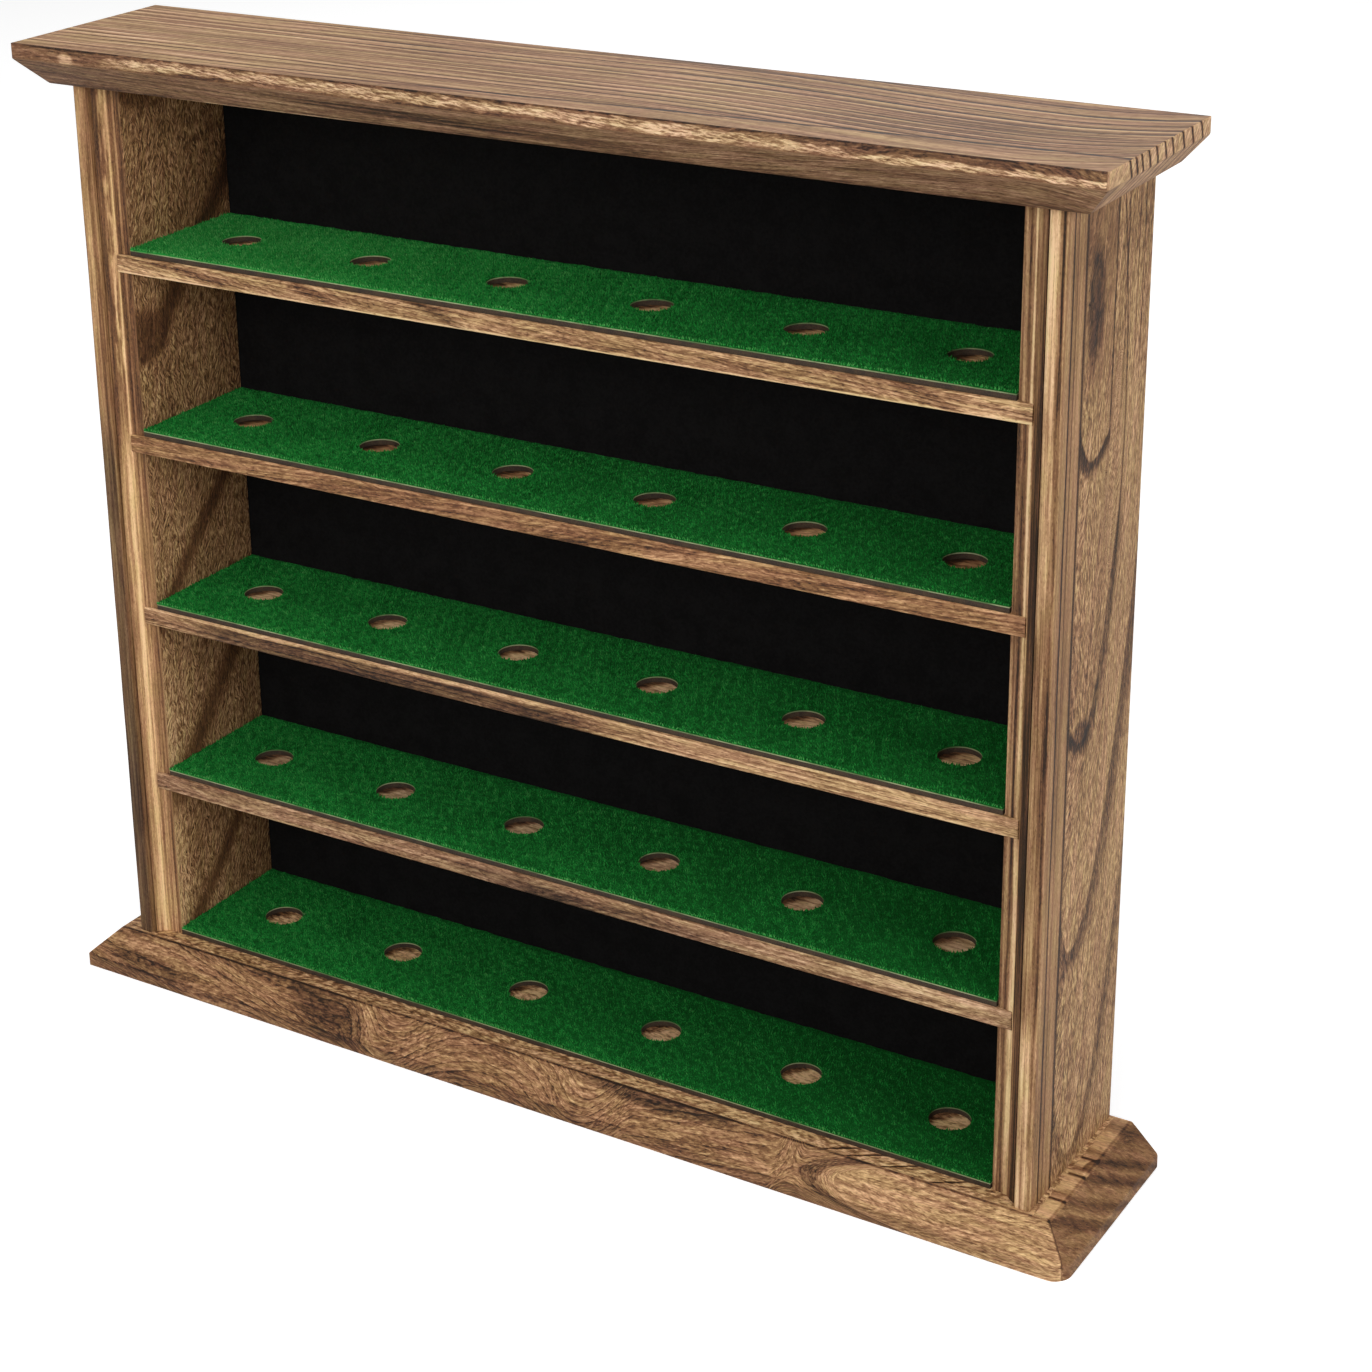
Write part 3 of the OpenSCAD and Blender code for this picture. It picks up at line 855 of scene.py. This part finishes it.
leftGrain = {
    "bands": [(170, 9, 1), (237, 12, 1), (297, 9, 1)],   # place down the slant, reach, share
    "frontLines": [2.6, 5.2, 7.4],
    # The pale line at 165.1, on the arris where the flat strip meets the slope, is a painted highlight
    "edgeLines": [(161.9, 0.3, 0.12), (163.3, 0.3, 0.12), (165.1, 0.5, -0.3)],   # place, reach, darkness
    "loopSpacing": 62, "loopApex": 25,
    "tint": (1.04, 0.97, 0.86),
}


def leftFigure(x, y, z):
    w = x * -1
    u, v = y + 20, 325.8 - z
    sway = drawn(v, y, x, 0.01, 0.02, 1) - 0.5
    slant = v + (u - 20) * 1.185 + sway * 14
    inner = w.fall(160.3, 161.2)
    bands = slant.hump(75, 12) * u.rise(6, 14) + slant.lines(leftGrain["bands"])
    bands = (bands + spot(u, v, (0, 87), (17, 11)) + spot(u, v, (8, 2), (14, 9)) * 0.6).use("MINIMUM", 1)
    lowHalf = v.rise(190, 240)
    dark = bands * 0.3 + 0.02 + u.rise(10, 55) * 0.1 + v.fall(0, 200) * 0.08
    dark += (u.humps(leftGrain["frontLines"], 0.5) * 0.16 - u.fall(2, 10) * 0.2) * lowHalf
    loops = y + 14 + sway * 12, z - 40 + sway * 70
    rings = loopRings(*loops, leftGrain["loopSpacing"], leftGrain["loopApex"]) * 2.4
    front = y.fall(-20.4, -19.9) * (1 - w.rise(174.6, 175) * y.rise(-25.5, -20))
    lower = z.fall(192, 222)
    torn = drawn(z, x, y, 0.09, 0.5).rise(0.42, 0.6)
    curl = (drawn(z, y, x, 0.22, 0.22) - 0.5) * (1 - front)
    strip = w.fall(164.2, 164.8) * (0.2 - lower * 0.2) + w.lines(leftGrain["edgeLines"])
    strip += w.hump(160.8, 0.9) * (0.2 + lower * 0.04) - w.hump(162.5, 0.6) * (1 - lower) * 0.14
    slope = w.between(165.6, 168.9, 0.25) * (0.3 - lower * 0.41) - w.hump(166.2, 1) * (lower * 0.12 + 0.2)
    slope += w.hump(168.5, 1) * lower * 0.2
    slope -= w.between(165.4, 167.4, 0.3) * torn * z.rise(205, 240) * 0.32
    quirk = w.hump(169.1, 0.45) * (0.3 - lower * 0.1)
    nose = w.rise(169.3, 169.8) * 0.19 - w.rise(170.2, 172) * (0.26 - lower * 0.13)
    nose += w.hump(174.5, 0.8) * (0.2 - lower * 0.1)
    tone = (rings.use("FRACT") * 0.1).towards(dark, inner)
    return dict(
        along=z * 1.4 + curl * 3, across=y * 1.25 + slant * 0.12 * (1 - front) + curl * 4.5, deep=x,
        rings=rings, depth=(1 - front) * (1 - inner) * 0.4, waver=0.45,
        fleck=(0.6 + inner * 0.35) * (1 - bands * inner * 0.7) * (1 - front * 0.9),
        fibre=0.4 + front * 0.3, broad=0.4, tone=tone.towards(strip + slope + quirk + nose, front),
        smoke=inner * 0.08 + front * w.rise(169, 170) * lower * 0.75,
    )


# Painted shadow in a seat: the wood that shows in it is darkened under the left and back rim, and paler by
# a given amount elsewhere
def seatPaintedShadow(x, y, pale):
    side = (x + seatPitch * 3).use("MODULO", seatPitch) - seatPitch / 2
    ahead = y - float(feltBoxes[0][0][1]) - seatFromFront
    inSeat = (side * side + ahead * ahead).fall(50, 60)
    return inSeat * ((ahead * 0.6 - side * 0.9).rise(2, 6.5) * (pale + 0.4) - pale)


topGrain = {
    "stripes": [-22.5, -18.4, -14.5, -9.5, -4.2, 1.8, 7.0, 14.8, 21.5, 28.5],   # along Y on the right end
    "stripeReach": 1.15,
    "tint": (1.0, 0.98, 1.02),
}


def topFigure(x, y, z):
    back = 36.4 - y
    away = 190 - x
    wave = drawn(x, back, z, 0.01, 0.03) - 0.5
    turned = (x - 155).use("MAXIMUM", 0)
    bent = back + x.fall(30, 160) * 12.5 + turned * turned * 0.0073 + wave * 2.5 - 9
    rings = bent * 0.109 + bent * bent * 0.00132
    ahead = back - away * 0.03 - away * away * 0.00007 - 57
    smooth = ahead.rise(0.5, 2)
    fine = (bent * 1.3 + wave * 8).use("SINE") * (1 - smooth)
    clouds = spot(x, back, (153, 40), (36, 10)) + spot(x, back, (-128, 37), (52, 10)) * 0.7
    tone = clouds * 0.06 + fine * 0.1 - 0.07 + x.rise(-150, 20) * 0.085 - smooth * 0.02
    tone += ahead.hump(0, 1.2) * x.rise(-110, 20) * 0.5
    tone += back.fall(0, 1.8) * (x.between(-60, 130, 50) * 0.2 + 0.12)
    # The front band is torn pale along a ragged strip that sinks and thins to the right, in streaks
    # that fall a little to the right
    fallen = z + x * 0.1
    ragged = drawn(x, fallen, y, 0.05, 0.5, 3, 0.65) - 0.5
    onBand = z.rise(334.6, 335.2)
    face = y.fall(-36.3, -36) * onBand
    middle = 337.7 - x.rise(0, 190) * 1.5
    off = (z + ragged * 4.2 - middle).use("ABSOLUTE") / (1.75 - x.rise(60, 190) * 0.8)
    streaks = drawn(x, fallen, y, 0.22, 1.7, 3, 0.7).rise(0.4, 0.6)
    pale = off.fall(0.6, 1.3) * x.rise(-156, -142) * (streaks * 0.75 + 0.25)
    pale += spot(x, z, (-167, 336.5), (3.5, 2.5)) * 0.6
    band = 0.27 - pale * 0.6 + z.rise(339.3, 339.8) * 0.16 - x.fall(-160, -100) * 0.05
    stripes = (y - (340 - z) * 0.35).humps(topGrain["stripes"], topGrain["stripeReach"])
    under = z.fall(334.6, 335.2)
    belly = spot(x + (z - 330) * 6, z + x * 0.02, (-20, 330), (70, 2)) * 0.24 + 0.08
    belly += z.fall(326.2, 328) * 0.12 + x.fall(-180, -60) * 0.06
    belly -= z.fall(325.9, 326.5) * x.between(-130, -60, 6) * 0.4 + y.rise(-28, -26) * 0.16
    belly += stripes * x.rise(181, 184) * y.rise(-28, -25) * 0.4
    atEnd = x.rise(189.9, 190.15) * onBand
    tone = tone.towards(band, face).towards(belly, under).towards(stripes * 0.7 - 0.16, atEnd)
    flat = (1 - face) * (1 - under) * (1 - atEnd)
    rear = y.rise(36.5, 36.9)
    lean = under * y.fall(-30, -27) * (x + 200).fall(0, 160) * 0.05
    depth = flat * (1 - smooth) * (x.rise(30, 110) * 0.35 + 0.55) * (1 - rear * 0.85) + under * 0.2
    return dict(
        along=x * (1 - flat * 0.45), across=(bent + z * 0.7 + x * lean) * (1 - flat * 0.5),
        deep=z * 0.5, rings=rings + under * z / 2.4, depth=depth, waver=0.1 + under * 0.07,
        lean=0.12 - flat * 0.1, fleck=0.3 - flat * 0.2, fibre=0.6 + flat * 0.1, broad=0.2,
        tone=tone, smoke=clouds * flat * 0.08 + under * 0.3 * y.fall(-28, -26),
    )


baseGrain = {
    "marks": [105, 113, 125, 142],            # strokes on the flat, along X
    "endBlocks": [-27.4, -15.5, -0.5, 9.8],   # dark blocks on the right end, along Y
    "endClouds": [-12, 3.5, 14],
    "tint": (1.04, 0.97, 0.9),
}


def baseFigure(x, y, z):
    # On the bevel the lines follow an arch, hooks and an oval; elsewhere they run along X
    mitre = x + y - 154.5
    onFront = y.fall(-26.9, -26.4) * mitre.fall(0, 0.6)
    wave = drawn(x, z, y, 0.03, 0.12) - 0.5
    arch = z + (x + 18) * (x + 18) / 92
    rising = z - (x - 30) * 0.12
    hooks = z + (x / 13 + z * 0.35).use("SINE") * 1.8 + (x + 110) * 0.12
    lines = arch + (rising - arch) * x.rise(10, 40) + (hooks - arch) * x.fall(-80, -45)
    oval = (x - 107.3) * 2 - (z - 8.4) * (z - 8.4) + wave * 3
    inOval = oval.rise(-0.8, 2.2) * onFront
    lines = lines.towards(oval * 0.35, x.rise(90, 102)).towards(z * 1.3, (oval * onFront).rise(-1, 12))
    lines = (y * 0.5).towards(lines, onFront)
    rim = oval.between(-14, -1, 2.5) * x.rise(90, 101) * onFront
    lens = spot(x, z, (44, 13.4), (32, 2.8))
    cloud = spot(x + z * 1.2, z, (-74, 9), (17, 8))
    left = spot(x + z * 2, z, (-152, 6.2), (20, 3)) + spot(x, z, (-130, 13.8), (42, 1.4)) * 0.7
    tone = 0.05 + x.fall(-110, 20) * 0.05 - inOval * (0.12 + x.rise(140, 185) * 0.07) + rim * 0.17
    tone += (lens * 0.26 + cloud * 0.2 + left * 0.16 - (x + z * 0.8).hump(-60, 6) * 0.12) * onFront
    flat = (1 - onFront) * z.rise(13.2, 13.7)
    marks = (x - (y + 27) * 1.6).humps(baseGrain["marks"], 1.3) * flat * y.fall(-22, -18) * 0.8
    # The right end: lines over the flat widen to soft bands that run back down the bevel
    atEnd = x.rise(176, 177) * (1 - onFront)
    ends = y + (z - 14) * 2 + wave * 2.5
    blocks = y.humps(baseGrain["endBlocks"], 1.3) * 0.7 + y.humps(baseGrain["endClouds"], 3.2) * 0.3
    swept = ends.humps(baseGrain["endBlocks"], 5.6) * 0.22 + ends.hump(29, 9) * 0.2 + 0.1
    slope = z.fall(13.4, 13.9)
    grain = (blocks + y.hump(32, 7) * 0.34 - 0.22).towards(swept, slope)
    band = z.fall(4.4, 5)
    upper = z.rise(13.5, 13.9)
    tone = tone.towards(grain, atEnd) + (marks - flat * (x.rise(20, 80) * 0.1 + 0.06)) * (1 - atEnd)
    tone += band * 0.08 - band * x.rise(176, 186) * 0.12
    lips = z.hump(4.6, 0.4) * 0.6 + upper * y.hump(-27.3, 0.8) * y.fall(-26, -25) * 1.5
    tone += lips * 0.28 * (1 - atEnd) + x.hump(181.8, 0.9) * z.rise(13.3, 13.8) * 0.3
    tone += mitre.hump(0.2, 0.7) * z.between(4, 14, 0.5) * y.fall(-26.5, -26) * 0.35
    # Painted shadow under the left and back rims of the base's seats
    tone += seatPaintedShadow(x, y, 0.26) * z.rise(13.5, 13.8)
    smoke = (lens * 0.4 + cloud * 0.25 + left * 0.2) * onFront + rim * 0.3 + band * 0.1
    across = lines.towards(ends * 0.4, atEnd)
    return dict(
        along=x, across=across + wave * 2, deep=y * 0.6 + z * 0.4, rings=across / 2.3,
        depth=onFront * (0.3 - inOval * 0.26) + 0.06, waver=0.6, lean=0.35,
        fleck=0.44 + inOval * 0.04 - atEnd * 0.24 + flat * (1 - atEnd) * 0.4, fibre=0.55 - atEnd * 0.2,
        broad=0.35, tone=tone, smoke=smoke + atEnd * slope * (grain * 0.7 + 0.05),
    )


shelfGrains = [
    # slope of the streaks, depth, fleck, how pale the upper and the lower arris are worn, tint
    (0.008, 0.25, 0.45, (0.05, 0.02), (1.0, 0.98, 1.02)),
    (0.012, 0.4, 0.4, (0.16, 0.08), (1.02, 0.98, 0.95)),
    (-0.05, 0.2, 0.42, (0.16, 0.08), (1.04, 0.94, 0.86)),
    (0.05, 0.4, 0.5, (0.08, 0.55), (1.01, 0.97, 0.9)),
]


# Tone and smoke on the front of a shelf, by the place along it and the height under its top face
def shelfStains(number, x, down, wave):
    if number == 1:
        gold = (down + wave * 2).rise(-3.4, -1.4) * x.rise(40, 120)
        low = spot(x, down, (30, -5), (50, 3.4)) + spot(x, down, (-12, -4), (30, 4))
        return 0.04 - gold * 0.14 + low * 0.1, low * 0.35 + 0.05
    if number == 2:
        body = x.between(-138, 14, 14) * (down + wave * 2).fall(-1.6, -0.7)
        tone = body * 0.24 - (down + wave).rise(-1.5, -0.8) * x.fall(-5, 10) * 0.16
        return tone - x.rise(10, 40) * 0.1 + 0.04, body * 0.5
    if number == 3:
        tilt = x - (down + 6.2) * 8 + wave * 16
        return 0.12 + tilt.humps([8, 76], 16) * 0.14 - tilt.humps([32, 100], 12) * 0.1, 0
    steep = x + down * 2.6 + wave * 8
    tone = steep.humps([-92, -42, 127], 8) * 0.28 + (x + down * 5.5).hump(-148, 12) * 0.22
    return tone + x.rise(-15, 20) * 0.03 - x.rise(138, 150) * 0.12 - 0.02, steep.hump(-42, 10) * 0.3


def shelfFigure(number):
    top = float(shelfBoxes[number - 1][1][2])
    slope, depth, fleck, worn, _ = shelfGrains[number - 1]

    def figure(x, y, z):
        down = z - top
        wave = drawn(x, down, y, 0.03, 0.2) - 0.5
        tone, smoke = shelfStains(number, x, down, wave)
        lips = down.rise(-0.75, -0.3) * worn[0] + down.fall(-5.9, -5.1) * worn[1]
        # The seats get a painted shadow under their left and back rims
        tone = tone - lips * y.fall(-21, -20.6) + seatPaintedShadow(x, y, 0.18) * down.rise(-0.5, -0.2)
        lines = down + wave * 1.2 + x * slope
        return dict(
            along=x, across=lines + y * 0.4, deep=y * 0.5, rings=lines / 1.5 + y / 9,
            depth=depth, waver=0.3, lean=0.2, fleck=fleck, fibre=0.65, tone=tone, smoke=smoke,
        )

    return figure


feltGreens = srgb(14, 80, 28), srgb(34, 138, 56), srgb(112, 182, 104)
feltBacking = srgb(158, 164, 126)


# Felt: greens that vary from spike to spike and in slow patches, paler at the tips
def feltMaterial():
    mat, tree, coords = newMaterial("greenFelt")
    tone, rise = (fieldNode(tree, "Attribute", None, {"attribute_name": name}, "Fac")
                  for name in ("tone", "rise"))
    patch = noise(tree, coords, 60, 3, 0.6)
    blob = noise(tree, coords, 420, 2, 0.6)
    grain = noise(tree, coords, 1300, 2, 0.6)
    x, _, z = axesOf(tree, coords)
    level = tone * 0.7 + (patch - 0.5) * 0.5 + (blob - 0.5) * 1.3 + (grain - 0.5) * 1.6
    # Painted light: the felt is paler towards the left, most of all on the highest sheet
    level += x.mapped(-0.17, 0.17, 0.22, -0.16, "LINEAR") + z.rise(0.24, 0.26) * x.fall(-0.14, 0.1) * 0.4
    dark, plain, bright = feltGreens
    color = mixColor(tree, level.rise(-0.1, 0.7), dark, plain)
    color = mixColor(tree, level.rise(0.5, 1.6) * rise, color, bright)
    # The pale backing shows along the cut edges, just above each board
    height = (z - feltBoxes[0][0][2] * mm).use("MODULO", shelfPitch * mm)
    shown = height.fall(0.00025, 0.00045) * patch.mapped(0.35, 0.65, 0.3, 1)
    finishSurface(tree, grain, 0.6, 0.0004, {
        "Base Color": mixColor(tree, shown, color, feltBacking), "Roughness": 1, "Specular IOR Level": 0,
        "Sheen Weight": 0.3, "Sheen Roughness": 0.45, "Sheen Tint": (0.16, 0.75, 0.22, 1)})
    return mat


plainFinishes = {
    # dark and light colour, noise per metre, range of roughness, bump depth in metres, metallic,
    # and where they differ from the usual the gloss and the stretch of the noise
    "blackBoard": ((18, 17, 17), (26, 25, 25), 120, (0.75, 0.9), 0.0001, 0, 0.05),
    "brownBoard": ((44, 34, 26), (76, 60, 44), 300, (0.7, 0.9), 0.0001, 0),
    "screwSteel": ((150, 150, 152), (190, 190, 188), 500, (0.28, 0.42), 0.00003, 1),
    "dowelWood": ((190, 160, 118), (214, 186, 144), 250, (0.5, 0.65), 0.0001, 0, 0.4, (3, 3, 0.2)),
    "blackSteel": ((18, 18, 18), (40, 40, 40), 600, (0.35, 0.5), 0.00003, 0.6),
}


# A plain finish whose colour and roughness waver a little at two scales
def plainMaterial(name, dark, light, scale, rough, bumpDepth, metallic, gloss=0.4, stretch=(1, 1, 1)):
    mat, tree, coords = newMaterial(name)
    coords = stretched(tree, coords, stretch)
    wide = noise(tree, coords, scale, 3, 0.6)
    fine = noise(tree, coords, scale * 9, 2, 0.6)
    mixed = (fine * 0.5 + wide * 0.5).rise(0.35, 0.65)
    color = mixColor(tree, mixed, srgb(*dark), srgb(*light))
    finishSurface(tree, fine, 0.4, bumpDepth, {
        "Base Color": color, "Roughness": wide.mapped(0.3, 0.7, *rough), "Metallic": metallic,
        "Specular IOR Level": gloss})
    return mat


def dress(piece, material, node):
    piece.data.materials.append(material)
    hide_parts(node)


boards = [
    (base, "baseWood", baseFigure, baseGrain["tint"], "base_board"),
    (top, "topWood", topFigure, topGrain["tint"], "top_board"),
    (rightPanel, "rightWood", rightFigure, rightGrain["tint"], "right_side_panel"),
    (leftPanel, "leftWood", leftFigure, leftGrain["tint"], "left_side_panel"),
]
for i, shelf in enumerate(shelves, 1):
    boards.append((shelf, "shelfWood%d" % i, shelfFigure(i), shelfGrains[i - 1][-1], "shelf_%d" % i))
for piece, name, figure, tint, node in boards:
    dress(piece, woodMaterial(name, figure, tint), node)
felt = feltMaterial()
plain = {name: plainMaterial(name, *finish) for name, finish in plainFinishes.items()}

# The felt's flat size in metres, and its area without the seats
feltFlat = tuple((feltBoxes[0][1] - feltBoxes[0][0])[:2] * mm)
feltArea = feltFlat[0] * feltFlat[1] - seatCount * math.pi * (seatRadius * mm) ** 2
for i, (ballBoard, (sheet, pile)) in enumerate(zip(ballBoards, felts), 1):
    dress(ballBoard, plain["brownBoard"], "ball_board_%d" % i)
    for piece in (sheet, pile):
        dress(piece, felt, "felt_pad_%d" % i)
nodeFinishes = {
    "back_panel": "blackBoard", "base_screws": "screwSteel", "top_dowels": "dowelWood",
    "back_panel_pins": "blackSteel",
}
for node, finish in nodeFinishes.items():
    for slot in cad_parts[node].material_slots:
        slot.material = plain[finish]
print("materials made")
